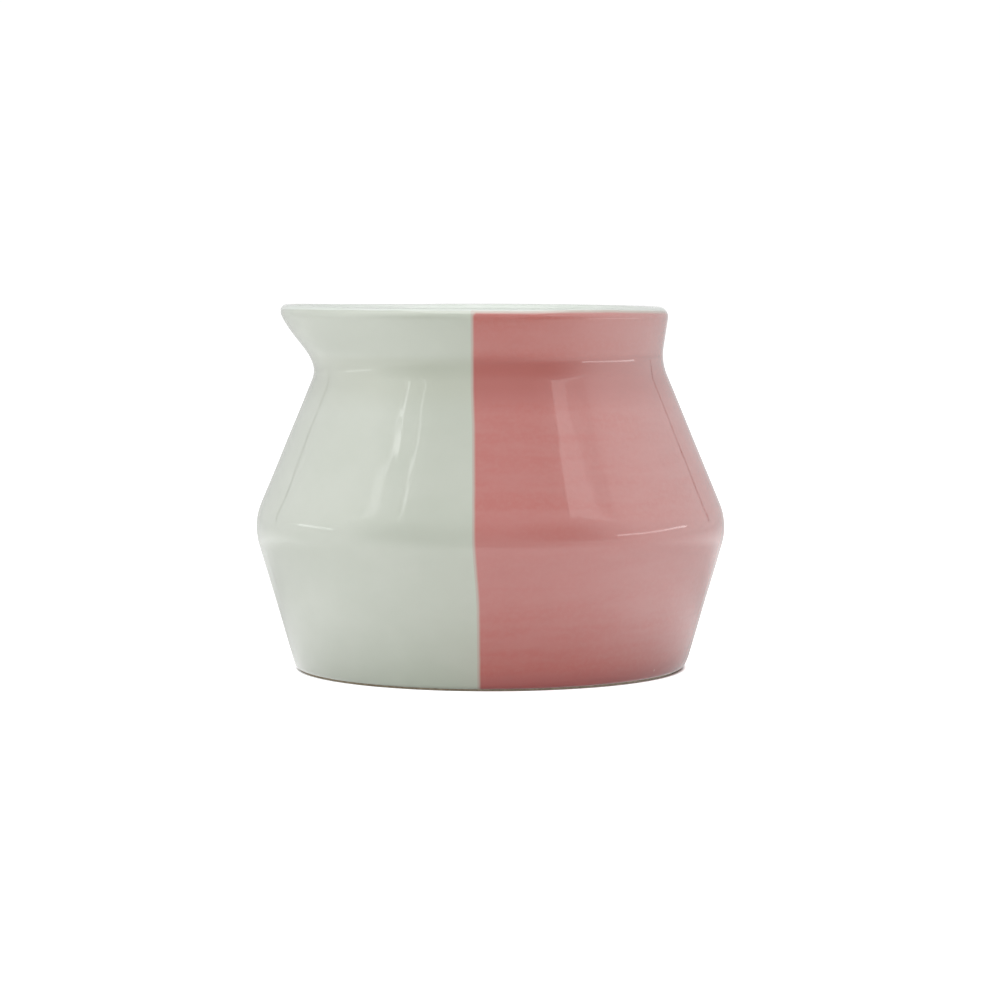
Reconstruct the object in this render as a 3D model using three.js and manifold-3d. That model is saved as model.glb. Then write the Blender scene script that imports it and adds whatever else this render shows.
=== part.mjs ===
// A small ceramic pouring cup, in millimetres, with +Z up.
// The origin is the foot's centre on the surface that the cup stands on, and the spout points to -X.
// The body is fired clay. Three glaze coats lie on it: a white liner inside and over the lip,
// a white coat outside on the spout's side, and a pink coat outside on the other side.

import * as THREE from 'three';
import { mergeVertices } from 'three/addons/utils/BufferGeometryUtils.js';
import Module from 'manifold-3d';

const { degToRad, lerp, smoothstep } = THREE.MathUtils;

// Outer form, measured on the glaze: a cone that widens from the foot, a cone that narrows to the neck,
// and a collar. The belly's and the neck's radii are where the straight sides would meet unrounded.
const FOOT_RADIUS = 35;
const BELLY_RADIUS = 42.6;
const BELLY_HEIGHT = 26.1;
const BELLY_ROUND = 10.8;
const NECK_RADIUS = 30.6;
const NECK_HEIGHT = 54.9;
const NECK_ROUND = 9.6;
const RIM_RADIUS = 31.9;
const CUP_HEIGHT = 64.7;

// Wall with its glaze, inside floor, and the foot ring turned on the underside.
const WALL = 3.6;
const FLOOR_HEIGHT = 6;
const FLOOR_ROUND = 7;
const FOOT_RING_WIDTH = 4.5;
const FOOT_RECESS = 1.2;
const FOOT_BEVEL = 0.4;

// Spout: the collar is drawn out at one side, a little up, and its wall thins there.
const SPOUT_REACH = 6;
const SPOUT_DROP = 13.2;
const SPOUT_LIFT = 0.4;
const SPOUT_THINNING = 1.1;
const SPOUT_SPREAD = degToRad(42);
const SPOUT_FADE = 1.5;

// Glaze coats: thickness, space to the clay and to each other, bare foot below the outer coats,
// taper at their lower end, and how far up the outside of the lip they reach.
const GLAZE = 0.4;
const CLEARANCE = 0.1;
const GLAZE_LINE = 0.4;
const GLAZE_TAPER = 1;
const GLAZE_END = 0.2;
const LIP_PARTING = degToRad(45);

// Line between white and pink, seen from the front: its place across the cup above and below the belly.
const LINE_ABOVE = -2.9;
const LINE_BELOW = -2;
const LINE_BEND_TOP = 27.5;
const LINE_BEND_BOTTOM = 13.5;

// Fineness of the facets.
const TURN_SIDES = 48;
const CORNER_STEPS = 4;
const COLLAR_STEPS = 3;
const LIP_STEPS = 3;

const wasm = await Module();
wasm.setup();

// Wall outlines: plane points hold a radius and a height. A side is numbered as the corner below it.
const LOWER_SIDE = 0;
const UPPER_SIDE = 1;
const COLLAR_SIDE = 2;
const wallCorners = [
  new THREE.Vector2(FOOT_RADIUS, 0),
  new THREE.Vector2(BELLY_RADIUS, BELLY_HEIGHT),
  new THREE.Vector2(NECK_RADIUS, NECK_HEIGHT),
  new THREE.Vector2(RIM_RADIUS, CUP_HEIGHT),
];

// One straight side of the wall at a depth below the outer glaze, with its ways up and into the wall.
function side(index, depth) {
  const along = wallCorners[index + 1].clone().sub(wallCorners[index]).normalize();
  const inward = new THREE.Vector2(-along.y, along.x);
  const start = wallCorners[index].clone().addScaledVector(inward, depth);
  return { start, along, inward };
}

function level(height) {
  return { start: new THREE.Vector2(0, height), along: new THREE.Vector2(1, 0) };
}

function crossing(first, second) {
  const between = second.start.clone().sub(first.start);
  const distance = between.cross(second.along) / first.along.cross(second.along);
  return first.start.clone().addScaledVector(first.along, distance);
}

function shares(steps) {
  return Array.from({ length: steps + 1 }, (_, step) => step / steps);
}

// The arc that rounds a corner between two neighbours.
function roundedCorner(before, corner, after, radius) {
  const back = before.clone().sub(corner).normalize();
  const ahead = after.clone().sub(corner).normalize();
  const halfAngle = Math.acos(back.dot(ahead)) / 2;
  const reach = radius / Math.tan(halfAngle);
  const middle = back.clone().add(ahead).normalize();
  const centre = corner.clone().addScaledVector(middle, radius / Math.sin(halfAngle));
  const first = corner.clone().addScaledVector(back, reach).sub(centre);
  const last = corner.clone().addScaledVector(ahead, reach).sub(centre);
  const turn = Math.atan2(first.cross(last), first.dot(last));
  const origin = new THREE.Vector2();
  return shares(CORNER_STEPS).map((share) => first.clone().rotateAround(origin, turn * share).add(centre));
}

// The lip is half round, as wide as the wall, and its crest is the cup's height.
const collar = side(COLLAR_SIDE, 0);
const lipCentre = crossing(side(COLLAR_SIDE, WALL / 2), level(CUP_HEIGHT - WALL / 2));

// Points round the lip at a depth below its glaze. Angle 0 faces out of the collar, and π into the cup.
function lipArc(depth, from, to) {
  const radius = WALL / 2 - depth;
  return shares(LIP_STEPS).map((share) => {
    const angle = lerp(from, to, share);
    const outward = -radius * Math.cos(angle);
    const upward = radius * Math.sin(angle);
    return lipCentre.clone().addScaledVector(collar.inward, outward).addScaledVector(collar.along, upward);
  });
}

// One surface of the wall at a depth below the outer glaze, from a height up to just below the lip.
function wallOutline(depth, lowest) {
  const lower = side(LOWER_SIDE, depth);
  const upper = side(UPPER_SIDE, depth);
  const start = crossing(lower, level(lowest));
  const belly = crossing(lower, upper);
  const neck = crossing(upper, side(COLLAR_SIDE, depth));
  const top = lipCentre.clone().addScaledVector(collar.inward, depth - WALL / 2);
  const bellyArc = roundedCorner(start, belly, neck, BELLY_ROUND - depth);
  const neckArc = roundedCorner(belly, neck, top, NECK_ROUND + depth);
  const neckEnd = neckArc[CORNER_STEPS];
  const collarPoints = shares(COLLAR_STEPS).slice(1, -1).map((share) => neckEnd.clone().lerp(top, share));
  return [start, ...bellyArc, ...neckArc, ...collarPoints];
}

// One surface of the inside at a depth below the liner's face, from the floor's centre to below the lip.
function insideOutline(depth) {
  const floor = FLOOR_HEIGHT - depth;
  const centre = new THREE.Vector2(0, floor);
  const [corner, ...wall] = wallOutline(WALL - depth, floor);
  return [centre, ...roundedCorner(centre, corner, wall[0], FLOOR_ROUND + depth), ...wall];
}

// The underside, from its centre across the recess and the foot ring to the ring's outer edge.
function footOutline(depth) {
  const edge = crossing(side(LOWER_SIDE, depth), level(0)).x - FOOT_BEVEL;
  const ringInside = edge - FOOT_RING_WIDTH;
  return [
    new THREE.Vector2(0, FOOT_RECESS),
    new THREE.Vector2(ringInside - FOOT_RECESS, FOOT_RECESS),
    new THREE.Vector2(ringInside, 0),
    new THREE.Vector2(edge, 0),
  ];
}

// Merges shared vertices and drops the triangles that shrink to nothing on the axis.
function closedGeometry(geometry) {
  geometry.deleteAttribute('normal');
  geometry.deleteAttribute('uv');
  const merged = mergeVertices(geometry);
  const corners = merged.index.array;
  const kept = [];
  for (let first = 0; first < corners.length; first += 3) {
    const triangle = corners.slice(first, first + 3);
    if (new Set(triangle).size === 3) {
      kept.push(...triangle);
    }
  }
  merged.setIndex(kept);
  return merged;
}

// How much of the spout's full pull reaches a point: most at the rim, in the spout's own direction.
function spoutPull(x, y, z) {
  const aside = Math.abs(Math.atan2(y, -x)) / SPOUT_SPREAD;
  const around = (1 + aside ** 2) ** -SPOUT_FADE;
  return around * smoothstep(z, CUP_HEIGHT - SPOUT_DROP, CUP_HEIGHT);
}

function drawOutSpout(geometry) {
  const points = geometry.attributes.position;
  for (let index = 0; index < points.count; index += 1) {
    const x = points.getX(index);
    const y = points.getY(index);
    const z = points.getZ(index);
    const radius = Math.hypot(x, y);
    const pull = spoutPull(x, y, z);
    const reach = SPOUT_REACH + SPOUT_THINNING * (RIM_RADIUS - radius) / WALL;
    const stretch = radius > 0 ? 1 + pull * reach / radius : 1;
    points.setXYZ(index, x * stretch, y * stretch, z + pull * SPOUT_LIFT);
  }
}

// A turned form with its spout, from an outline of radii and heights.
function turned(outline) {
  const geometry = new THREE.LatheGeometry(outline, TURN_SIDES);
  geometry.rotateX(Math.PI / 2);
  const closed = closedGeometry(geometry);
  drawOutSpout(closed);
  return closed;
}

// Everything on the pink side of the colour line, with the line moved across by a distance.
function pinkSide(shift) {
  const beyond = 2 * Math.max(BELLY_RADIUS, RIM_RADIUS + SPOUT_REACH);
  const above = 2 * CUP_HEIGHT;
  const shape = new THREE.Shape([
    new THREE.Vector2(beyond, -above),
    new THREE.Vector2(beyond, above),
    new THREE.Vector2(LINE_ABOVE + shift, above),
    new THREE.Vector2(LINE_ABOVE + shift, LINE_BEND_TOP),
    new THREE.Vector2(LINE_BELOW + shift, LINE_BEND_BOTTOM),
    new THREE.Vector2(LINE_BELOW + shift, -above),
  ]);
  const block = new THREE.ExtrudeGeometry(shape, { depth: 2 * beyond, bevelEnabled: false });
  block.translate(0, 0, -beyond);
  block.rotateX(Math.PI / 2);
  return closedGeometry(block);
}

function toSolid(geometry) {
  return new wasm.Manifold(new wasm.Mesh({
    numProp: 3,
    vertProperties: geometry.attributes.position.array,
    triVerts: new Uint32Array(geometry.index.array),
  }));
}

function toGeometry(solid) {
  const mesh = solid.getMesh();
  const geometry = new THREE.BufferGeometry();
  geometry.setAttribute('position', new THREE.BufferAttribute(mesh.vertProperties, 3));
  geometry.setIndex(new THREE.BufferAttribute(mesh.triVerts, 1));
  return geometry;
}

// Clay body: underside, outside wall, lip and inside, all below the glaze.
function clayBody() {
  const depth = GLAZE + CLEARANCE;
  return turned([
    ...footOutline(depth),
    ...wallOutline(depth, FOOT_BEVEL),
    ...lipArc(depth, 0, Math.PI / 2),
    ...lipArc(depth, Math.PI / 2, Math.PI).slice(1),
    ...insideOutline(depth).reverse(),
  ]);
}

// White liner: from the floor's centre up the inside and over the lip to the parting on its outside.
function linerGlaze() {
  const parting = LIP_PARTING + CLEARANCE / (WALL / 2);
  const back = [...insideOutline(GLAZE), ...lipArc(GLAZE, Math.PI, parting)];
  const face = [...insideOutline(0), ...lipArc(0, Math.PI, parting)];
  return turned([...back, ...face.reverse()]);
}

// Outer coat of both colours, from the glaze line above the foot up to the parting on the lip.
function outerCoat() {
  const [, ...wallFace] = wallOutline(0, GLAZE_LINE);
  const face = [
    crossing(side(LOWER_SIDE, GLAZE - GLAZE_END), level(GLAZE_LINE)),
    crossing(side(LOWER_SIDE, 0), level(GLAZE_LINE + GLAZE_TAPER)),
    ...wallFace,
    ...lipArc(0, 0, LIP_PARTING),
  ];
  const back = [...wallOutline(GLAZE, GLAZE_LINE), ...lipArc(GLAZE, 0, LIP_PARTING)];
  return turned([...face, ...back.reverse(), face[0]]);
}

function piece(name, geometry, color, roughness) {
  geometry.computeVertexNormals();
  const mesh = new THREE.Mesh(geometry, new THREE.MeshStandardMaterial({ color, roughness, metalness: 0 }));
  mesh.name = name;
  return mesh;
}

const coat = toSolid(outerCoat());
const pinkCoat = coat.intersect(toSolid(pinkSide(CLEARANCE / 2)));
const whiteCoat = coat.subtract(toSolid(pinkSide(-CLEARANCE / 2)));

const cup = new THREE.Group();
cup.add(piece('clay_body', clayBody(), '#d9cdb8', 0.85));
cup.add(piece('liner_glaze', linerGlaze(), '#d6dbd0', 0.1));
cup.add(piece('white_glaze', toGeometry(whiteCoat), '#d0d6ca', 0.1));
cup.add(piece('pink_glaze', toGeometry(pinkCoat), '#bb766f', 0.1));

export default cup;
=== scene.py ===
# A small two-tone pouring cup: fired clay, a white liner, and a white and a pink coat outside.
# The spout points to -X and the camera stands on the -Y side. Sizes of the cup are in millimetres.

import math

import bpy
import bmesh
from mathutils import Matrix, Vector, noise


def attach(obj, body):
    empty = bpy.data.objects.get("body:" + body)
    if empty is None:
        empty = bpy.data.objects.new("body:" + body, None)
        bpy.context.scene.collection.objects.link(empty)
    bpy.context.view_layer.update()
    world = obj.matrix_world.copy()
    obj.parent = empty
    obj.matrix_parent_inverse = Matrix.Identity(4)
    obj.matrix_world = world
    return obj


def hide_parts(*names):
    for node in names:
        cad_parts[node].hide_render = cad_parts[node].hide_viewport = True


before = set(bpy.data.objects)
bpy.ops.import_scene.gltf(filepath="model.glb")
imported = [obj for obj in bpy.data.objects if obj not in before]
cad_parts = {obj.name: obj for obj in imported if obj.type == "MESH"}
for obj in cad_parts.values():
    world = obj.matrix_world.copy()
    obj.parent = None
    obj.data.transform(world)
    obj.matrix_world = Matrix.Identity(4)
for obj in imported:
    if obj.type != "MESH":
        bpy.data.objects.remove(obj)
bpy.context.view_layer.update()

MM = 0.001

# Outer form, measured on the glaze. The belly's and the neck's radii are where the straight sides
# would meet unrounded.
FOOT_RADIUS = 35
BELLY_RADIUS = 42.6
BELLY_HEIGHT = 26.1
BELLY_ROUND = 10.8
NECK_RADIUS = 30.6
NECK_HEIGHT = 54.9
NECK_ROUND = 9.6
RIM_RADIUS = 31.9
CUP_HEIGHT = 64.7

# Wall with its glaze, inside floor, and the foot ring turned on the underside.
WALL = 3.6
FLOOR_HEIGHT = 6
FLOOR_ROUND = 7
FOOT_RING_WIDTH = 4.5
FOOT_RECESS = 1.2
FOOT_BEVEL = 0.4

# Spout: the collar is drawn out at one side, a little up, and its wall thins there.
SPOUT_REACH = 6
SPOUT_DROP = 13.2
SPOUT_LIFT = 0.4
SPOUT_THINNING = 1.1
SPOUT_SPREAD = math.radians(42)
SPOUT_FADE = 1.5

# Glaze coats: thickness, space to the clay and to each other, and the bare foot below the outer coats.
GLAZE = 0.4
CLEARANCE = 0.1
SEAM = 0.004
GLAZE_LINE = 0.35
GLAZE_TAPER = 0.4
GLAZE_END = 0.04

# Edge of the outer coats, as an angle up the outside of the lip: in front and behind, and at the sides. Then
# how far and how often it wobbles.
PARTING_FRONT = math.radians(62)
PARTING_SIDE = math.radians(42)
PARTING_WOBBLE = math.radians(3)
PARTING_WAVES = 6

# Line between white and pink: its place across the cup on the collar, above and below the belly, the heights
# between which it bends, and its hand wobble in long and short waves, each with its place in the noise.
LINE_COLLAR = -3.13
LINE_ABOVE = -2.9
LINE_BELOW = -2.05
LINE_NECK_TOP = 53
LINE_NECK_BOTTOM = 42
LINE_BEND_TOP = 27.5
LINE_BEND_BOTTOM = 13.5
LINE_WOBBLE = 0.09
LINE_LONG_WAVE = 9
LINE_LONG_PLACE = (0.3, 0.7)
LINE_SHORT_WAVE = 3
LINE_SHORT_PLACE = (4.1, 2.2)
LINE_SHORT_SHARE = 0.5

# The foot's outer edge is rounded most on the pink side, where it was wiped: heights, and depth as a share.
FOOT_ROUND_SPOUT = 0.1
FOOT_ROUND_FAR = 2.6
FOOT_ROUND_DEPTH = 0.3

# Unevenness left by the hand and the fire: the rim's wobble, the glaze's waves, the brush strokes, which
# fade beside the colour line, and the turning marks inside, from near the floor's centre to its corner.
RIM_WOBBLE = 0.09
RIM_WAVES = 1.7
RIM_SHIFT = 0.3
GLAZE_WAVE = 0.05
GLAZE_WAVE_LENGTH = 7.5
BRUSH_WAVE = 0.004
BRUSH_LENGTH = 16
BRUSH_WIDTH = 2.2
BRUSH_FADE = 2
TURNING_WAVE = 0.03
TURNING_PITCH = 4.5
TURNING_BEGIN = (1, 6)
TURNING_END = (10, 7)

# Pink shows through the liner's edge, but not beside the white coat. There this is added to the distance
# from the edge.
LINER_CLEAR = 1

# Counts of steps along an outline and around the cup, and of rounds to find where the colour line crosses
# a level ring.
FOOT_STEPS = 14
LOWER_STEPS = 28
UPPER_STEPS = 38
CORNER_STEPS = 12
COLLAR_STEPS = 9
LIP_STEPS = 10
LINER_LIP_STEPS = 30
FLOOR_STEPS = 30
TURN_STEPS = 256
LINE_ROUNDS = 3

# Points of a mesh nearer than this, in metres, become one, and edges bent by more than this angle are sharp.
WELD_DISTANCE = 1e-7
SHARP_ANGLE = math.radians(35)

# Wall outlines: plane points hold a radius and a height. A side is numbered as the corner below it.
LOWER_SIDE = 0
UPPER_SIDE = 1
COLLAR_SIDE = 2
WALL_CORNERS = [
    Vector((FOOT_RADIUS, 0)),
    Vector((BELLY_RADIUS, BELLY_HEIGHT)),
    Vector((NECK_RADIUS, NECK_HEIGHT)),
    Vector((RIM_RADIUS, CUP_HEIGHT)),
]


def lerp(start, end, share):
    return start + (end - start) * share


def smoothstep(low, high, value):
    share = min(max((value - low) / (high - low), 0), 1)
    return share * share * (3 - 2 * share)


def shares(steps):
    return [step / steps for step in range(steps + 1)]


def straight(start, end, steps):
    """Points from start towards end, without the end itself."""
    return [lerp(start, end, share) for share in shares(steps)[:-1]]


def rotated(point, angle):
    cosine = math.cos(angle)
    sine = math.sin(angle)
    return Vector((point.x * cosine - point.y * sine, point.x * sine + point.y * cosine))


def inward_of(index):
    along = (WALL_CORNERS[index + 1] - WALL_CORNERS[index]).normalized()
    return Vector((-along.y, along.x))


def side(index, depth):
    """One straight side of the wall at a depth below the outer glaze, as a point and a direction."""
    along = (WALL_CORNERS[index + 1] - WALL_CORNERS[index]).normalized()
    return WALL_CORNERS[index] + inward_of(index) * depth, along


def level(height):
    return Vector((0, height)), Vector((1, 0))


def crossing(first, second):
    start, along = first
    other_start, other_along = second
    distance = (other_start - start).cross(other_along) / along.cross(other_along)
    return start + along * distance


def rounded_corner(before, corner, after, radius):
    """The arc that rounds a corner between two neighbours."""
    back = (before - corner).normalized()
    ahead = (after - corner).normalized()
    half_angle = back.angle(ahead) / 2
    reach = radius / math.tan(half_angle)
    centre = corner + (back + ahead).normalized() * (radius / math.sin(half_angle))
    first = corner + back * reach - centre
    last = corner + ahead * reach - centre
    turn = math.atan2(first.cross(last), first.dot(last))
    return [centre + rotated(first, turn * share) for share in shares(CORNER_STEPS)]


LIP_CENTRE = crossing(side(COLLAR_SIDE, WALL / 2), level(CUP_HEIGHT - WALL / 2))


def lip_point(depth, angle):
    """A point round the lip at a depth below its glaze. Angle 0 faces out, and pi into the cup."""
    radius = WALL / 2 - depth
    inward = inward_of(COLLAR_SIDE)
    along = side(COLLAR_SIDE, 0)[1]
    return LIP_CENTRE - inward * (radius * math.cos(angle)) + along * (radius * math.sin(angle))


def lip_arc(depth, start, end, steps):
    return [lip_point(depth, lerp(start, end, share)) for share in shares(steps)]


def wall_outline(depth, lowest):
    """One surface of the wall at a depth below the outer glaze, from a height up to just below the lip."""
    lower = side(LOWER_SIDE, depth)
    upper = side(UPPER_SIDE, depth)
    start = crossing(lower, level(lowest))
    foot_top = crossing(lower, level(lowest + GLAZE_TAPER + FOOT_ROUND_FAR))
    belly = crossing(lower, upper)
    neck = crossing(upper, side(COLLAR_SIDE, depth))
    top = lip_point(depth, 0)
    belly_arc = rounded_corner(start, belly, neck, BELLY_ROUND - depth)
    neck_arc = rounded_corner(belly, neck, top, NECK_ROUND + depth)
    return [
        *straight(start, foot_top, FOOT_STEPS),
        *straight(foot_top, belly_arc[0], LOWER_STEPS),
        *belly_arc[:-1],
        *straight(belly_arc[-1], neck_arc[0], UPPER_STEPS),
        *neck_arc[:-1],
        *straight(neck_arc[-1], top, COLLAR_STEPS),
    ]


def inside_outline(depth):
    """One surface of the inside at a depth below the liner's face, from the floor's centre to the lip."""
    floor = FLOOR_HEIGHT - depth
    centre = Vector((0, floor))
    corner = crossing(side(LOWER_SIDE, WALL - depth), level(floor))
    wall_top = crossing(side(LOWER_SIDE, WALL - depth), side(UPPER_SIDE, WALL - depth))
    corner_arc = rounded_corner(centre, corner, wall_top, FLOOR_ROUND + depth)
    wall = wall_outline(WALL - depth, corner_arc[-1].y)
    return [*straight(centre, corner_arc[0], FLOOR_STEPS), *corner_arc[:-1], *wall]


def foot_outline(depth):
    """The underside, from its centre across the recess and the foot ring to the ring's outer edge."""
    edge = crossing(side(LOWER_SIDE, depth), level(0)).x - FOOT_BEVEL
    ring_inside = edge - FOOT_RING_WIDTH
    recess_edge = Vector((ring_inside - FOOT_RECESS, FOOT_RECESS))
    ring_start = Vector((ring_inside, 0))
    return [
        *straight(Vector((0, FOOT_RECESS)), recess_edge, FLOOR_STEPS),
        *straight(recess_edge, ring_start, LIP_STEPS),
        *straight(ring_start, Vector((edge, 0)), LIP_STEPS),
    ]


def from_spout(turn):
    """The angle between a direction round the cup and the spout's."""
    return abs((turn % (2 * math.pi)) - math.pi)


def spout_pull(turn, height):
    around = (1 + (from_spout(turn) / SPOUT_SPREAD) ** 2) ** -SPOUT_FADE
    return around * smoothstep(CUP_HEIGHT - SPOUT_DROP, CUP_HEIGHT, height)


def foot_rounding(radius, height, turn):
    """How far the foot's rounded outer edge lies inside the straight wall."""
    round_height = lerp(FOOT_ROUND_SPOUT, FOOT_ROUND_FAR, smoothstep(0, math.pi, from_spout(turn)))
    if height >= round_height:
        return 0
    ring_inside = FOOT_RADIUS - FOOT_RING_WIDTH - FOOT_BEVEL
    share = smoothstep(ring_inside, FOOT_RADIUS - FOOT_BEVEL - GLAZE, radius)
    missing = 1 - height / round_height
    return share * FOOT_ROUND_DEPTH * round_height * (1 - math.sqrt(1 - missing ** 2))


def spouted_radius(radius, height, turn):
    reach = SPOUT_REACH + SPOUT_THINNING * (RIM_RADIUS - radius) / WALL
    return radius + spout_pull(turn, height) * reach


def placed(radius, height, turn):
    """A point of the cup, in millimetres, from its outline's radius and height and its turn."""
    out = spouted_radius(radius, height, turn) - foot_rounding(radius, height, turn)
    flat = Vector((out * math.cos(turn), out * math.sin(turn), 0))
    near_rim = smoothstep(NECK_HEIGHT, CUP_HEIGHT, height)
    wobble = RIM_WOBBLE * near_rim * (noise.noise(flat / NECK_RADIUS * RIM_WAVES) - RIM_SHIFT)
    flat.z = height + spout_pull(turn, height) * SPOUT_LIFT + wobble
    return flat


def colour_line(height):
    """How far across the cup the line between white and pink lies at a height."""
    above = lerp(LINE_ABOVE, LINE_COLLAR, smoothstep(LINE_NECK_BOTTOM, LINE_NECK_TOP, height))
    bend = smoothstep(LINE_BEND_BOTTOM, LINE_BEND_TOP, height)
    long_wave = noise.noise(Vector((*LINE_LONG_PLACE, height / LINE_LONG_WAVE)))
    short_wave = noise.noise(Vector((*LINE_SHORT_PLACE, height / LINE_SHORT_WAVE)))
    return lerp(LINE_BELOW, above, bend) + LINE_WOBBLE * (long_wave + LINE_SHORT_SHARE * short_wave)


def line_turn(radius, height, shift):
    """The turn at which a level ring of the coat crosses the colour line, moved across by a shift."""
    across = colour_line(height) + shift
    turn = math.pi / 2
    for _ in range(LINE_ROUNDS):
        turn = math.acos(across / spouted_radius(radius, height, turn))
    return turn


def lip_parting(turn):
    """How far up the outside of the lip the outer coats reach at a turn."""
    to_side = smoothstep(0, 1, 1 - abs(math.sin(turn)))
    wobble = PARTING_WOBBLE * noise.noise(Vector((math.cos(turn), math.sin(turn), 0)) * PARTING_WAVES)
    return lerp(PARTING_FRONT, PARTING_SIDE, to_side) + wobble


def rippled(point, brushed):
    """A face point, moved by the glaze's own waves and, on the pink, by the brush strokes."""
    out = Vector((point.x, point.y, 0)).normalized()
    waves = GLAZE_WAVE * noise.noise(point / GLAZE_WAVE_LENGTH)
    stroke_place = Vector((point.x / BRUSH_LENGTH, point.y / BRUSH_LENGTH, point.z / BRUSH_WIDTH))
    strokes = BRUSH_WAVE * brushed * noise.noise(stroke_place)
    return point + out * (waves + strokes)


def coat_face(parting):
    """The outer coat's face, from its thinned lower end to its edge on the lip."""
    face = [*wall_outline(0, GLAZE_LINE), *lip_arc(0, 0, parting, LIP_STEPS)]
    for point in face:
        missing = min(max(1 - (point.y - GLAZE_LINE) / GLAZE_TAPER, 0), 1)
        thickness = max(GLAZE * math.sqrt(1 - missing ** 2), GLAZE_END)
        point.x -= GLAZE - thickness
    return face


def coat_columns(first_turn, last_turn, steps, brushed):
    """Columns of an outer coat between two turns that follow the colour line. Each point has its distance
    from the coat's edge.
    """
    columns = []
    lip = lip_point(0, PARTING_FRONT)
    for share in shares(steps):
        parting = lip_parting(lerp(first_turn(*lip), last_turn(*lip), share))
        face = coat_face(parting)
        back = [*wall_outline(GLAZE, GLAZE_LINE), *lip_arc(GLAZE, 0, parting, LIP_STEPS)]
        column = []
        for index, (radius, height) in enumerate([*face, *reversed(back)]):
            turn = lerp(first_turn(radius, height), last_turn(radius, height), share)
            point = placed(radius, height, turn)
            from_line = abs(point.x - colour_line(height))
            if index < len(face):
                point = rippled(point, brushed * smoothstep(0, BRUSH_FADE, from_line))
            from_lip = max(face[-1].y - height, 0)
            column.append((point, min(from_line, from_lip) if brushed else from_line))
        columns.append(column)
    return columns


def liner_column(turn):
    """The liner's back and face at a turn. Each point has its distance from the edge on the lip."""
    parting = lip_parting(turn) + SEAM / (WALL / 2)
    face = [*inside_outline(0), *lip_arc(0, math.pi, parting, LINER_LIP_STEPS)]
    back = [*inside_outline(GLAZE), *lip_arc(GLAZE, math.pi, parting, LINER_LIP_STEPS)]
    column = []
    for index, (radius, height) in enumerate([*back, *reversed(face)]):
        point = placed(radius, height, turn)
        if index >= len(back):
            mark = math.sin(2 * math.pi * (radius + height) / TURNING_PITCH)
            marked = smoothstep(*TURNING_BEGIN, radius) * smoothstep(*TURNING_END, height)
            point.z += TURNING_WAVE * mark * marked
        edge = abs(radius - face[-1].x) + abs(height - face[-1].y)
        beside_pink = point.x > colour_line(height)
        column.append((point, edge if beside_pink else edge + LINER_CLEAR))
    return column


def clay_column(turn):
    """The clay's whole outline at a turn. Bare clay has no coat's edge, so the distances are 0."""
    depth = GLAZE + CLEARANCE
    outline = [
        *foot_outline(depth),
        *wall_outline(depth, 0),
        *lip_arc(depth, 0, math.pi, LIP_STEPS),
        *reversed(inside_outline(depth)),
    ]
    return [(placed(radius, height, turn), 0) for radius, height in outline]


def cap_faces(start, count):
    """Faces that close an end column, which is a loop of a face and its back."""
    return [
        [start + row, start + row + 1, start + count - 2 - row, start + count - 1 - row]
        for row in range(count // 2 - 1)
    ]


def mesh_faces(column_count, count, ends_capped):
    """Faces between neighbouring columns. Capped columns are loops with a cap at either end, and the others
    close round the turn.
    """
    faces = []
    column_pairs = [(index, index + 1) for index in range(column_count - 1)]
    row_pairs = [(index, index + 1) for index in range(count - 1)]
    if ends_capped:
        row_pairs.append((count - 1, 0))
        faces += cap_faces(0, count)
        faces += cap_faces((column_count - 1) * count, count)
    else:
        column_pairs.append((column_count - 1, 0))
    for left, right in column_pairs:
        for low, high in row_pairs:
            face = [left * count + low, right * count + low, right * count + high, left * count + high]
            faces.append(face)
    return faces


def closed_mesh(name, columns, ends_capped):
    """A smooth closed mesh from columns of points, each with its distance from a coat's edge."""
    points = [point * MM for column in columns for point, edge in column]
    mesh = bpy.data.meshes.new(name)
    mesh.from_pydata(points, [], mesh_faces(len(columns), len(columns[0]), ends_capped))
    distances = mesh.attributes.new("edge", "FLOAT", "POINT")
    distances.data.foreach_set("value", [edge for column in columns for point, edge in column])
    cleaned = bmesh.new()
    cleaned.from_mesh(mesh)
    bmesh.ops.remove_doubles(cleaned, verts=cleaned.verts, dist=WELD_DISTANCE)
    bmesh.ops.recalc_face_normals(cleaned, faces=cleaned.faces)
    cleaned.to_mesh(mesh)
    cleaned.free()
    mesh.polygons.foreach_set("use_smooth", [True] * len(mesh.polygons))
    mesh.set_sharp_from_angle(angle=SHARP_ANGLE)
    return mesh


def pink_columns():
    def first(radius, height):
        return -line_turn(radius, height, SEAM / 2)

    def last(radius, height):
        return line_turn(radius, height, SEAM / 2)

    return coat_columns(first, last, TURN_STEPS // 2, 1)


def white_columns():
    def first(radius, height):
        return line_turn(radius, height, -SEAM / 2)

    def last(radius, height):
        return 2 * math.pi - line_turn(radius, height, -SEAM / 2)

    return coat_columns(first, last, TURN_STEPS // 2, 0)


def turned_columns(column):
    return [column(2 * math.pi * share) for share in shares(TURN_STEPS)[:-1]]


# Materials

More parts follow.
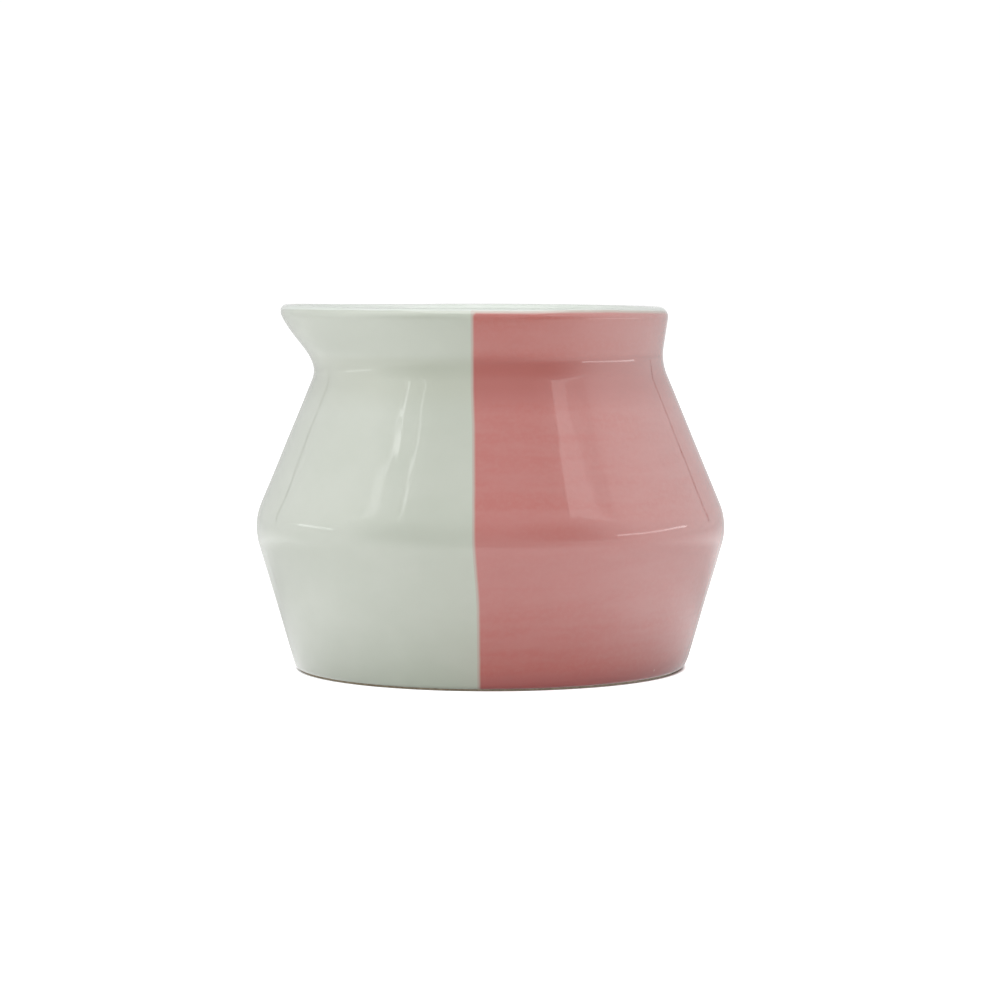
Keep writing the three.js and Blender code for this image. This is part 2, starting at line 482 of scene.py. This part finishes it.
# Colours in linear light, each with its opacity.
WHITE = (0.528, 0.568, 0.486, 1)
WHITE_THIN = (0.55, 0.587, 0.508, 1)
# Painted shade for the white in the neck's crease.
WHITE_CREASE_SHADE = (0.5, 0.535, 0.445, 1)
WHITE_SPECK = (0.16, 0.15, 0.11, 1)
PINK = (0.51, 0.168, 0.147, 1)
PINK_RED = (0.508, 0.153, 0.131, 1)
PINK_PALE = (0.52, 0.19, 0.172, 1)
# Painted shade for the pink in the neck's crease.
PINK_CREASE_SHADE = (0.435, 0.116, 0.098, 1)
PINK_COLLAR = (0.52, 0.145, 0.112, 1)
# Painted shade for the pink beside the foot.
PINK_FOOT_SHADE = (0.40, 0.126, 0.125, 1)
PINK_SPECK = (0.62, 0.36, 0.33, 1)
# The liner is painted lighter than the white coat, as painted light on the lip and inside the cup.
LINER_LIT = (0.71, 0.745, 0.7, 1)
LINER_LIT_POOLED = (0.65, 0.705, 0.64, 1)
CLAY = (0.46, 0.38, 0.27, 1)
CLAY_DARK = (0.30, 0.235, 0.16, 1)
PURE_WHITE = (1, 1, 1, 1)

# Finish of the glaze and of the bare clay. A bump has a strength and a depth.
GLAZE_IOR = 1.5
COAT_ROUGHNESS = 0.045
LINER_ROUGHNESS = 0.1
GLAZE_BUMP = 0.02
GLAZE_BUMP_DEPTH = 0.2
CLAY_ROUGHNESS = 0.85
CLAY_BUMP = 0.35
CLAY_BUMP_DEPTH = 0.3

# Clouds of noise: each has a size across, a size upward and a detail. Limits are where in the noise it
# begins and is full, and a share is how strong it shows.
CLOUD_ROUGHNESS = 0.55
GLAZE_GRAIN = (0.9, 0.9, 2)
WHITE_CLOUD = (14, 9, 3)
WHITE_CLOUD_LIMITS = (0.35, 0.7)
PINK_STROKES = (40, 2.4, 2)
PINK_STROKES_LIMITS = (0.35, 0.65)
PINK_MOTTLE = (12, 3, 3)
PINK_MOTTLE_LIMITS = (0.4, 0.75)
PINK_MOTTLE_SHARE = 0.7
PINK_GRAIN = (0.9, 0.8, 3)
PINK_GRAIN_LIMITS = (0.38, 0.68)
PINK_GRAIN_SHARE = 0.4
LINER_CLOUD = (12, 8, 3)
LINER_CLOUD_LIMITS = (0.35, 0.7)
CLAY_CLOUD = (1.1, 1.1, 5)
CLAY_CLOUD_LIMITS = (0.35, 0.7)
CLAY_GRAIN = (0.45, 0.45, 4)

# Specks: the spacing of the cells that may hold one, a speck's largest radius and the share of cells that
# hold one. Then how strong a speck shows.
WHITE_SPECKS = (4.5, 0.32, 0.16)
WHITE_SPECKS_SHARE = 0.7
PINK_SPECKS = (3.5, 0.3, 0.12)
PINK_SPECKS_SHARE = 0.5

# At its edge a coat takes on its neighbour's colour: over a width, and by a share.
WHITE_EDGE = (0.2, 0.3)
PINK_EDGE = (0.6, 0.75)
LINER_EDGE = (0.4, 0.35)

# Heights between which the glaze is painted darker in the neck's crease, as painted shade, and the share
# of that which is left on the collar.
CREASE_SHADE_BOTTOM = 46
CREASE_SHADE_LOW = 52
CREASE_SHADE_HIGH = 55.5
CREASE_SHADE_TOP = 57
CREASE_SHADE_COLLAR_SHARE = 0.15

# The pink is painted darker in this height above the foot, as painted shade beside the floor, brushed on
# thinner below the belly, and redder on the collar.
FOOT_SHADE_HEIGHT = 4.5
FOOT_SHADE_SHARE = 0.6
THIN_BOTTOM = 12
THIN_LOW = 20
THIN_HIGH = 25
THIN_TOP = 33
THIN_SHARE = 0.5
COLLAR_BOTTOM = 54
COLLAR_FULL = 58
COLLAR_SHARE = 0.25

# Sockets of the Mix node where it mixes colours, which share their names with others.
MIX_SHARE = 0
MIX_FIRST = 6
MIX_SECOND = 7
MIX_RESULT = 2


def new_material(name):
    material = bpy.data.materials.new(name)
    material.use_nodes = True
    tree = material.node_tree
    tree.nodes.clear()
    return material, tree


def add(tree, kind, settings=None, **inputs):
    """Adds a node. Inputs are named as on the node, with _ for a space, and take a value or a socket."""
    made = tree.nodes.new(kind)
    for key, value in (settings or {}).items():
        setattr(made, key, value)
    for key, value in inputs.items():
        feed(tree, made.inputs[key.replace("_", " ")], value)
    return made


def feed(tree, socket, value):
    if isinstance(value, bpy.types.NodeSocket):
        tree.links.new(value, socket)
    else:
        socket.default_value = value


def calculated(tree, operation, first, second):
    """The result of a Math node."""
    made = tree.nodes.new("ShaderNodeMath")
    made.operation = operation
    feed(tree, made.inputs[0], first)
    feed(tree, made.inputs[1], second)
    return made.outputs[0]


def mixed(tree, share, first, second):
    """A colour that turns from the first to the second by a share."""
    made = tree.nodes.new("ShaderNodeMix")
    made.data_type = "RGBA"
    feed(tree, made.inputs[MIX_SHARE], share)
    feed(tree, made.inputs[MIX_FIRST], first)
    feed(tree, made.inputs[MIX_SECOND], second)
    return made.outputs[MIX_RESULT]


def ranged(tree, value, from_low, from_high, to_low, to_high):
    """A value moved smoothly from one range to another, and held at its ends."""
    made = add(
        tree,
        "ShaderNodeMapRange",
        {"clamp": True, "interpolation_type": "SMOOTHSTEP"},
        Value=value,
        From_Min=from_low,
        From_Max=from_high,
        To_Min=to_low,
        To_Max=to_high,
    )
    return made.outputs["Result"]


def stretched_place(tree, across, upward):
    """Object coordinates measured in steps of a size across and a size upward, both in millimetres."""
    place = add(tree, "ShaderNodeTexCoord")
    steps = (1 / (across * MM), 1 / (across * MM), 1 / (upward * MM))
    return add(tree, "ShaderNodeMapping", Vector=place.outputs["Object"], Scale=steps).outputs["Vector"]


def cloud(tree, across, upward, detail):
    """Soft noise of a size across and a size upward, from 0 to 1."""
    place = stretched_place(tree, across, upward)
    made = add(tree, "ShaderNodeTexNoise", Vector=place, Scale=1.0, Detail=detail, Roughness=CLOUD_ROUGHNESS)
    return made.outputs["Fac"]


def clouded(tree, sizes, limits, share):
    """A cloud that rises from 0 to a share between its limits."""
    return ranged(tree, cloud(tree, *sizes), *limits, 0, share)


def specks(tree, spacing, radius, share):
    """Sparse round specks, 1 inside a speck. Share is how many of the cells of that spacing hold one."""
    place = stretched_place(tree, spacing, spacing)
    cells = add(tree, "ShaderNodeTexVoronoi", Vector=place, Scale=1.0)
    chosen = add(tree, "ShaderNodeSeparateColor", Color=cells.outputs["Color"])
    size = calculated(tree, "MULTIPLY", chosen.outputs["Green"], radius / spacing)
    inside = calculated(tree, "LESS_THAN", cells.outputs["Distance"], size)
    picked = calculated(tree, "LESS_THAN", chosen.outputs["Red"], share)
    return calculated(tree, "MULTIPLY", inside, picked)


def speckled(tree, colour, sizes, share, speck_colour):
    shown = calculated(tree, "MULTIPLY", specks(tree, *sizes), share)
    return mixed(tree, shown, colour, speck_colour)


def edged(tree, colour, edge, neighbour_colour):
    """A coat's colour, with its neighbour's showing along the edge."""
    width, share = edge
    distance = add(tree, "ShaderNodeAttribute", {"attribute_name": "edge"}).outputs["Fac"]
    return mixed(tree, ranged(tree, distance, 0, width, share, 0), colour, neighbour_colour)


def to_surface(tree, shader):
    """Makes a shader the material's surface."""
    output = add(tree, "ShaderNodeOutputMaterial")
    tree.links.new(shader.outputs[0], output.inputs["Surface"])


def finish_glaze(tree, colour, roughness):
    """A glossy coat of a colour, with the faint unevenness of fired glaze."""
    grain = cloud(tree, *GLAZE_GRAIN)
    bump = add(tree, "ShaderNodeBump", Strength=GLAZE_BUMP, Distance=GLAZE_BUMP_DEPTH * MM, Height=grain)
    shader = add(
        tree,
        "ShaderNodeBsdfPrincipled",
        Base_Color=colour,
        Roughness=roughness,
        IOR=GLAZE_IOR,
        Normal=bump.outputs["Normal"],
    )
    to_surface(tree, shader)


def height_of(tree):
    place = add(tree, "ShaderNodeTexCoord").outputs["Object"]
    return add(tree, "ShaderNodeSeparateXYZ", Vector=place).outputs["Z"]


def crease_shade(tree):
    """How much painted shade lies in the neck's crease, from 0 to 1."""
    height = height_of(tree)
    rising = ranged(tree, height, CREASE_SHADE_BOTTOM * MM, CREASE_SHADE_LOW * MM, 0, 1)
    falling = ranged(tree, height, CREASE_SHADE_HIGH * MM, CREASE_SHADE_TOP * MM, 1, CREASE_SHADE_COLLAR_SHARE)
    return calculated(tree, "MULTIPLY", rising, falling)


def thinned(tree, height):
    """How much thinner the pink was brushed on below the belly."""
    rising = ranged(tree, height, THIN_BOTTOM * MM, THIN_LOW * MM, 0, THIN_SHARE)
    falling = ranged(tree, height, THIN_HIGH * MM, THIN_TOP * MM, 1, 0)
    return calculated(tree, "MULTIPLY", rising, falling)


def white_material():
    material, tree = new_material("white_coat_glaze")
    colour = mixed(tree, clouded(tree, WHITE_CLOUD, WHITE_CLOUD_LIMITS, 1), WHITE, WHITE_THIN)
    # Painted shade in the neck's crease.
    colour = mixed(tree, crease_shade(tree), colour, WHITE_CREASE_SHADE)
    colour = speckled(tree, colour, WHITE_SPECKS, WHITE_SPECKS_SHARE, WHITE_SPECK)
    colour = edged(tree, colour, WHITE_EDGE, PINK)
    finish_glaze(tree, colour, COAT_ROUGHNESS)
    return material


def pink_material():
    material, tree = new_material("pink_coat_glaze")
    height = height_of(tree)
    mottle = clouded(tree, PINK_MOTTLE, PINK_MOTTLE_LIMITS, PINK_MOTTLE_SHARE)
    grain = clouded(tree, PINK_GRAIN, PINK_GRAIN_LIMITS, PINK_GRAIN_SHARE)
    on_collar = ranged(tree, height, COLLAR_BOTTOM * MM, COLLAR_FULL * MM, 0, COLLAR_SHARE)
    # Painted shade beside the foot, where the pink meets the floor.
    foot_shade = ranged(tree, height, 0, FOOT_SHADE_HEIGHT * MM, FOOT_SHADE_SHARE, 0)
    colour = mixed(tree, clouded(tree, PINK_STROKES, PINK_STROKES_LIMITS, 1), PINK_RED, PINK)
    colour = mixed(tree, mottle, colour, PINK_PALE)
    colour = mixed(tree, grain, colour, PINK_PALE)
    colour = mixed(tree, thinned(tree, height), colour, PINK_PALE)
    colour = mixed(tree, on_collar, colour, PINK_COLLAR)
    colour = mixed(tree, foot_shade, colour, PINK_FOOT_SHADE)
    # Painted shade in the neck's crease.
    colour = mixed(tree, crease_shade(tree), colour, PINK_CREASE_SHADE)
    colour = speckled(tree, colour, PINK_SPECKS, PINK_SPECKS_SHARE, PINK_SPECK)
    colour = edged(tree, colour, PINK_EDGE, WHITE)
    finish_glaze(tree, colour, COAT_ROUGHNESS)
    return material


def liner_material():
    material, tree = new_material("liner_glaze_white")
    # The liner's colours are painted lighter than the white coat's, as painted light.
    colour = mixed(tree, clouded(tree, LINER_CLOUD, LINER_CLOUD_LIMITS, 1), LINER_LIT_POOLED, LINER_LIT)
    colour = edged(tree, colour, LINER_EDGE, PINK)
    finish_glaze(tree, colour, LINER_ROUGHNESS)
    return material


def clay_material():
    material, tree = new_material("bare_fired_clay")
    colour = mixed(tree, clouded(tree, CLAY_CLOUD, CLAY_CLOUD_LIMITS, 1), CLAY_DARK, CLAY)
    grain = cloud(tree, *CLAY_GRAIN)
    bump = add(tree, "ShaderNodeBump", Strength=CLAY_BUMP, Distance=CLAY_BUMP_DEPTH * MM, Height=grain)
    shader = add(
        tree,
        "ShaderNodeBsdfPrincipled",
        Base_Color=colour,
        Roughness=CLAY_ROUGHNESS,
        Normal=bump.outputs["Normal"],
    )
    to_surface(tree, shader)
    return material


def show(name, mesh, material, node):
    """Puts a piece in the scene, in the place of its CAD node."""
    piece = bpy.data.objects.new(name, mesh)
    mesh.materials.append(material)
    bpy.context.scene.collection.objects.link(piece)
    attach(piece, "root")
    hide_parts(node)


# Studio

# The photo's camera, fitted to the cup's outline. Its lens and sensor are in millimetres.
CAMERA_PLACE = Vector((1.696, -584.45, 73.38)) * MM
CAMERA_AIM = Vector((1.696, 0, 29.99)) * MM
CAMERA_LENS = 117.5
CAMERA_SENSOR = 36
CAMERA_NEAR = 10 * MM


def aimed(thing, target):
    thing.rotation_mode = "QUATERNION"
    thing.rotation_quaternion = (target - thing.location).to_track_quat("-Z", "Y")


def make_camera():
    data = bpy.data.cameras.new("photo_camera")
    data.lens = CAMERA_LENS
    data.sensor_width = CAMERA_SENSOR
    data.clip_start = CAMERA_NEAR
    camera = bpy.data.objects.new("photo_camera", data)
    bpy.context.scene.collection.objects.link(camera)
    camera.location = CAMERA_PLACE
    aimed(camera, CAMERA_AIM)
    bpy.context.scene.camera = camera


# The floor is a ring, open in the middle under the foot, and light passes it as far as FLOOR_COVERED. It is
# painted a little darker beside the foot, as painted shadow, where its glow to the camera begins.
FLOOR_HOLE = FOOT_RADIUS - FOOT_RING_WIDTH / 2
FLOOR_COVERED = 34.6
FLOOR_REACH = 4000
FLOOR_STEPS_ROUND = 96
FLOOR_MATT = 0.86
FLOOR_MATT_SHADED = 0.8
FLOOR_MATT_START = 35
FLOOR_MATT_END = 43
FLOOR_GLOW_START = 34.2
FLOOR_GLOW_END = 35.6

# How bright the floor shows in the glaze: in front, at the sides and behind, near the foot and far from it.
FLOOR_FRONT = 2.3
FLOOR_SIDE = 3.6
FLOOR_SIDE_TURN = math.radians(70)
FLOOR_BACK_LOSS = 2.75
FLOOR_BACK_NEAR = (math.radians(52), math.radians(134))
FLOOR_BACK_FAR = (math.radians(80), math.radians(165))
FLOOR_BACK_CHANGE = (60 * MM, 180 * MM)
FLOOR_FAR_LOSS = 1
FLOOR_FAR_SIDE = (math.radians(35), math.radians(80))
FLOOR_FAR_CHANGE = (110 * MM, 290 * MM)

# Beside the foot the floor shows darker. At the sides this shade starts nearer in, by a relief.
FLOOR_SHADE_START = 28 * MM
FLOOR_SHADE_END = 66 * MM
FLOOR_RELIEF_LEFT = 21 * MM
FLOOR_RELIEF_RIGHT = 9 * MM
FLOOR_RELIEF_ACROSS = (-25 * MM, 25 * MM)
FLOOR_RELIEF_TURN = (math.radians(10), math.radians(50))


def floor_mesh():
    """A level ring: the part of the floor that the foot covers is left open."""
    mesh = bpy.data.meshes.new("floor")
    points = []
    for radius in (FLOOR_HOLE, FLOOR_REACH):
        for share in shares(FLOOR_STEPS_ROUND)[:-1]:
            turn = 2 * math.pi * share
            points.append((radius * MM * math.cos(turn), radius * MM * math.sin(turn), 0))
    faces = []
    for index in range(FLOOR_STEPS_ROUND):
        following = (index + 1) % FLOOR_STEPS_ROUND
        faces.append((index, FLOOR_STEPS_ROUND + index, FLOOR_STEPS_ROUND + following, following))
    mesh.from_pydata(points, [], faces)
    return mesh


def from_front(tree, vector):
    """The angle between a level direction and the front, from 0 to pi, for either side."""
    parts = add(tree, "ShaderNodeSeparateXYZ", Vector=vector)
    forward = calculated(tree, "MULTIPLY", parts.outputs["Y"], -1)
    across = calculated(tree, "ABSOLUTE", parts.outputs["X"], 0)
    return calculated(tree, "ARCTAN2", across, forward)


def distance_from_axis(tree, place):
    made = add(tree, "ShaderNodeVectorMath", {"operation": "LENGTH"})
    tree.links.new(place, made.inputs[0])
    return made.outputs["Value"]


def floor_reflection(tree, place, from_axis):
    """How bright the floor shows in the glaze, from the place on it."""
    around = from_front(tree, place)
    bright = ranged(tree, around, 0, FLOOR_SIDE_TURN, FLOOR_FRONT, FLOOR_SIDE)
    loss_near = ranged(tree, around, *FLOOR_BACK_NEAR, 0, FLOOR_BACK_LOSS)
    loss_far = ranged(tree, around, *FLOOR_BACK_FAR, 0, FLOOR_BACK_LOSS)
    loss = ranged(tree, from_axis, *FLOOR_BACK_CHANGE, loss_near, loss_far)
    bright = calculated(tree, "SUBTRACT", bright, loss)
    in_front = ranged(tree, around, *FLOOR_FAR_SIDE, FLOOR_FAR_LOSS, 0)
    loss_in_front = ranged(tree, from_axis, *FLOOR_FAR_CHANGE, 0, in_front)
    bright = calculated(tree, "SUBTRACT", bright, loss_in_front)
    across = add(tree, "ShaderNodeSeparateXYZ", Vector=place).outputs["X"]
    relief_there = ranged(tree, across, *FLOOR_RELIEF_ACROSS, FLOOR_RELIEF_LEFT, FLOOR_RELIEF_RIGHT)
    relief = ranged(tree, around, *FLOOR_RELIEF_TURN, 0, relief_there)
    shade_start = calculated(tree, "SUBTRACT", FLOOR_SHADE_START, relief)
    shade = ranged(tree, from_axis, shade_start, FLOOR_SHADE_END, 0, 1)
    return calculated(tree, "MULTIPLY", bright, shade)


def blended(tree, share, first, second):
    """A shader that turns from the first to the second by a share."""
    made = add(tree, "ShaderNodeMixShader", Fac=share)
    tree.links.new(first.outputs[0], made.inputs[1])
    tree.links.new(second.outputs[0], made.inputs[2])
    return made


def floor_openness(tree, path, from_axis):
    """1 where the floor is clear: from below, and under the foot to all but the camera."""
    geometry = add(tree, "ShaderNodeNewGeometry")
    not_seen = calculated(tree, "SUBTRACT", 1, path.outputs["Is Camera Ray"])
    under_foot = calculated(tree, "LESS_THAN", from_axis, FLOOR_COVERED * MM)
    open_under = calculated(tree, "MULTIPLY", not_seen, under_foot)
    return calculated(tree, "MAXIMUM", geometry.outputs["Backfacing"], open_under)


def floor_direct(tree, path, from_axis):
    """The floor as it shows and lights: white and matt, with a glow to the camera away from the foot."""
    glow = ranged(tree, from_axis, FLOOR_GLOW_START * MM, FLOOR_GLOW_END * MM, 0, 1)
    seen_strength = calculated(tree, "MULTIPLY", path.outputs["Is Camera Ray"], glow)
    seen = add(tree, "ShaderNodeEmission", Strength=seen_strength)
    # Painted shadow on the floor's matt colour beside the foot.
    matt_range = (FLOOR_MATT_START * MM, FLOOR_MATT_END * MM)
    shade = ranged(tree, from_axis, *matt_range, FLOOR_MATT_SHADED, FLOOR_MATT)
    matt = add(tree, "ShaderNodeBsdfDiffuse", Color=shade)
    made = add(tree, "ShaderNodeAddShader")
    tree.links.new(seen.outputs[0], made.inputs[0])
    tree.links.new(matt.outputs[0], made.inputs[1])
    return made


def floor_material():
    """A white floor with its own brightness in the glaze. It is clear where it would hide the underside."""
    material, tree = new_material("floor")
    path = add(tree, "ShaderNodeLightPath")
    place = add(tree, "ShaderNodeTexCoord").outputs["Object"]
    from_axis = distance_from_axis(tree, place)
    direct = floor_direct(tree, path, from_axis)
    reflected = add(tree, "ShaderNodeEmission", Strength=floor_reflection(tree, place, from_axis))
    above = blended(tree, path.outputs["Is Glossy Ray"], direct, reflected)
    clear = add(tree, "ShaderNodeBsdfTransparent")
    to_surface(tree, blended(tree, floor_openness(tree, path, from_axis), above, clear))
    return material


def make_floor():
    mesh = floor_mesh()
    mesh.materials.append(floor_material())
    floor = bpy.data.objects.new("floor", mesh)
    bpy.context.scene.collection.objects.link(floor)


# The even light on matt colour, and how bright the world shows to the camera, a little over white.
WORLD_LIGHT = 0.22
WORLD_SEEN = 1.03

# How bright the studio shows in the glaze: its open front, low and high, with a glow along the horizon, its
# sides, its back, and the ceiling at the back.
FRONT_LOW = 1.1
FRONT_HIGH = 1.7
FRONT_START = math.radians(18)
FRONT_HEIGHT = math.radians(45)
HORIZON_GLOW = 0.3
HORIZON_TOP = math.radians(6)
SIDE_START = math.radians(25)
SIDE_START_LOW = math.radians(35)
SIDE_FULL = math.radians(85)
SIDE_BRIGHT = 3.6
BACK_FULL = math.radians(170)
BACK_LOSS = 2.8
CEILING_START = math.radians(30)
CEILING_FULL = math.radians(65)
CEILING_BRIGHT = 2.8


def studio_reflection(tree):
    """How bright the studio shows in the glaze, from the direction."""
    direction = add(tree, "ShaderNodeTexCoord").outputs["Generated"]
    upward = add(tree, "ShaderNodeSeparateXYZ", Vector=direction).outputs["Z"]
    elevation = calculated(tree, "ARCSINE", upward, 0)
    around = from_front(tree, direction)
    front = ranged(tree, elevation, FRONT_START, FRONT_HEIGHT, FRONT_LOW, FRONT_HIGH)
    front = calculated(tree, "ADD", front, ranged(tree, elevation, 0, HORIZON_TOP, HORIZON_GLOW, 0))
    side_from = ranged(tree, elevation, FRONT_START, FRONT_HEIGHT, SIDE_START_LOW, SIDE_START)
    to_side = ranged(tree, around, side_from, SIDE_FULL, 0, 1)
    rise = calculated(tree, "MULTIPLY", to_side, calculated(tree, "SUBTRACT", SIDE_BRIGHT, front))
    to_back = ranged(tree, around, SIDE_FULL, BACK_FULL, 0, BACK_LOSS)
    walls = calculated(tree, "SUBTRACT", calculated(tree, "ADD", front, rise), to_back)
    to_ceiling = ranged(tree, elevation, CEILING_START, CEILING_FULL, 0, 1)
    at_back = ranged(tree, around, SIDE_FULL, BACK_FULL, 0, 1)
    gain = calculated(tree, "MULTIPLY", calculated(tree, "SUBTRACT", CEILING_BRIGHT, walls), to_ceiling)
    return calculated(tree, "ADD", walls, calculated(tree, "MULTIPLY", gain, at_back))


def make_world():
    """Even light on matt colour, white to the camera, and the studio's reflection in the glaze."""
    world = bpy.data.worlds.new("studio")
    bpy.context.scene.world = world
    world.use_nodes = True
    tree = world.node_tree
    tree.nodes.clear()
    path = add(tree, "ShaderNodeLightPath")
    gloss = calculated(tree, "MULTIPLY", studio_reflection(tree), path.outputs["Is Glossy Ray"])
    not_glossy = calculated(tree, "SUBTRACT", 1, path.outputs["Is Glossy Ray"])
    light = calculated(tree, "ADD", gloss, calculated(tree, "MULTIPLY", not_glossy, WORLD_LIGHT))
    seen = calculated(tree, "MULTIPLY", path.outputs["Is Camera Ray"], WORLD_SEEN)
    strength = calculated(tree, "MAXIMUM", light, seen)
    background = add(tree, "ShaderNodeBackground", Color=PURE_WHITE, Strength=strength)
    output = add(tree, "ShaderNodeOutputWorld")
    tree.links.new(background.outputs[0], output.inputs["Surface"])


def make_panel(name, centre, target, size, radiance):
    """A flat soft light of a size in millimetres. It lights matt colour, and never shows or reflects."""
    data = bpy.data.lights.new(name, "AREA")
    data.shape = "RECTANGLE"
    data.size = size[0] * MM
    data.size_y = size[1] * MM
    data.energy = radiance * math.pi * data.size * data.size_y
    panel = bpy.data.objects.new(name, data)
    bpy.context.scene.collection.objects.link(panel)
    panel.location = Vector(centre) * MM
    aimed(panel, Vector(target) * MM)
    panel.visible_camera = False
    panel.visible_glossy = False


def make_card(name, corners, radiance):
    """A flat card with its corners in millimetres. It shows only in the glaze, as a reflection."""
    mesh = bpy.data.meshes.new(name)
    mesh.from_pydata([Vector(corner) * MM for corner in corners], [], [range(len(corners))])
    material, tree = new_material(name)
    to_surface(tree, add(tree, "ShaderNodeEmission", Color=PURE_WHITE, Strength=radiance))
    mesh.materials.append(material)
    card = bpy.data.objects.new(name, mesh)
    bpy.context.scene.collection.objects.link(card)
    card.visible_camera = False
    card.visible_diffuse = False
    card.visible_transmission = False
    card.visible_shadow = False


# The cards stand on the two side walls of a light tent, and one lies above the cup. Points on a wall hold a
# distance back, away from the camera, and a height.
WALL_ACROSS = 400
WALL_TOP = 650
RIGHT_WALL_EDGE = -168
LEFT_SEAM = [(280, 40), (316, 160), (318, 190), (324, 250), (326, 190), (324, 160), (288, 40)]
RIGHT_SEAM = [(330, 60), (356, 160), (360, 190), (367, 250), (369, 190), (365, 160), (339, 60)]
LEFT_FRINGE = [(-75, 130), (-90, 203), (-158, 290), (-214, 338), (-218, 356), (-230, 356), (-224, 330),
               (-168, 280), (-98, 197), (-83, 130)]
LEFT_HOOK = [(-218, 356), (-246, 370), (-226, 394), (-236, 400), (-260, 370), (-232, 356)]
LEFT_LINE = [(-362, 380), (-362, 425), (-386, 452), (-386, 520), (-398, 520), (-398, 447), (-374, 418),
             (-374, 380)]
LEFT_BASE = [(-72, 85), (90, 80), (90, 95), (-72, 105)]
RIGHT_STRIP = [(-185, 235), (-350, 400), (-428, 455), (-412, 500), (-460, WALL_TOP), (-345, WALL_TOP),
               (-297, 400), (-150, 235)]
RIGHT_FLAP = [(-150, 235), (-297, 400), (-345, WALL_TOP), (RIGHT_WALL_EDGE, WALL_TOP),
              (RIGHT_WALL_EDGE, 240)]
RIGHT_BASE = [(-220, 64), (120, 60), (120, 72), (-220, 80)]
TOP_LIGHT = [(-300, -350, 700), (300, -350, 700), (300, 150, 700), (-300, 150, 700)]

# The cards of each wall, with how bright they are. Seams are dark, and bases lie low beside the cup.
LEFT_CARDS = {
    "left_seam": (LEFT_SEAM, 0.3),
    "left_fringe": (LEFT_FRINGE, 4.4),
    "left_hook": (LEFT_HOOK, 6.8),
    "left_line": (LEFT_LINE, 4.9),
    "left_base": (LEFT_BASE, 5.5),
}
RIGHT_CARDS = {
    "right_strip": (RIGHT_STRIP, 3.5),
    "right_flap": (RIGHT_FLAP, 2.9),
    "right_base": (RIGHT_BASE, 6.5),
    "right_seam": (RIGHT_SEAM, 0.3),
}
TOP_BRIGHT = 5

# Soft lights: the middle of each, its size and how bright it is. All are aimed at the cup's middle.
LIGHT_AIM = (0, 0, 35)
LIGHTS = {
    "key_light": ((-120, -700, 900), (900, 700), 1.3),
    "front_soft": ((-120, -1000, 250), (900, 500), 1.7),
    "top_soft": ((0, 0, 900), (900, 900), 1.8),
    "left_soft": ((-700, 100, 250), (700, 600), 0.25),
    "right_soft": ((700, 100, 250), (700, 600), 0.1),
    "back_soft": ((0, 1000, 450), (900, 600), 2.3),
}


def make_cards():
    for across, cards in ((-WALL_ACROSS, LEFT_CARDS), (WALL_ACROSS, RIGHT_CARDS)):
        for name, (outline, radiance) in cards.items():
            make_card(name, [(across, back, height) for back, height in outline], radiance)
    make_card("top_light", TOP_LIGHT, TOP_BRIGHT)


def make_lights():
    for name, (centre, size, radiance) in LIGHTS.items():
        make_panel(name, centre, LIGHT_AIM, size, radiance)


make_camera()
make_world()
make_floor()
make_lights()
make_cards()
show("fired_clay_body", closed_mesh("fired_clay_body", turned_columns(clay_column), False),
     clay_material(), "clay_body")
show("white_liner", closed_mesh("white_liner", turned_columns(liner_column), False),
     liner_material(), "liner_glaze")
show("white_coat", closed_mesh("white_coat", white_columns(), True),
     white_material(), "white_glaze")
show("pink_coat", closed_mesh("pink_coat", pink_columns(), True),
     pink_material(), "pink_glaze")

bpy.context.scene.view_settings.view_transform = "Standard"
